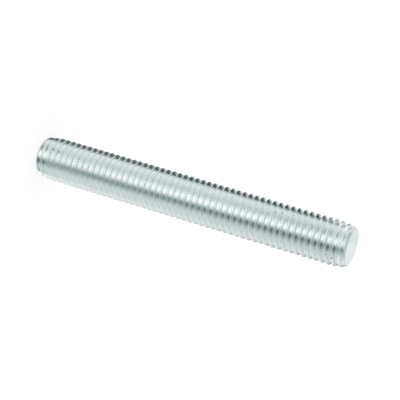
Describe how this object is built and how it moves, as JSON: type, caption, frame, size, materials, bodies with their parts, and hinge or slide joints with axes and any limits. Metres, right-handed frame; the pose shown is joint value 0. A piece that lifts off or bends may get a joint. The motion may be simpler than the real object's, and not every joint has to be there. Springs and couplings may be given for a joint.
{
  "type": "threaded rod",
  "caption": "Straight zinc plated metal rod, threaded over its whole length, with a chamfer and a flat face at each end.",
  "frame": {"origin": "centre of the lower end face, which the rod stands on", "axes": "+Z along the rod's axis, towards the upper end face"},
  "size_m": [0.012, 0.012, 0.092],
  "materials": {
    "zinc_plated_steel": "bright zinc plating"
  },
  "bodies": {
    "root": {"rod": "zinc_plated_steel"}
  },
  "joints": []
}
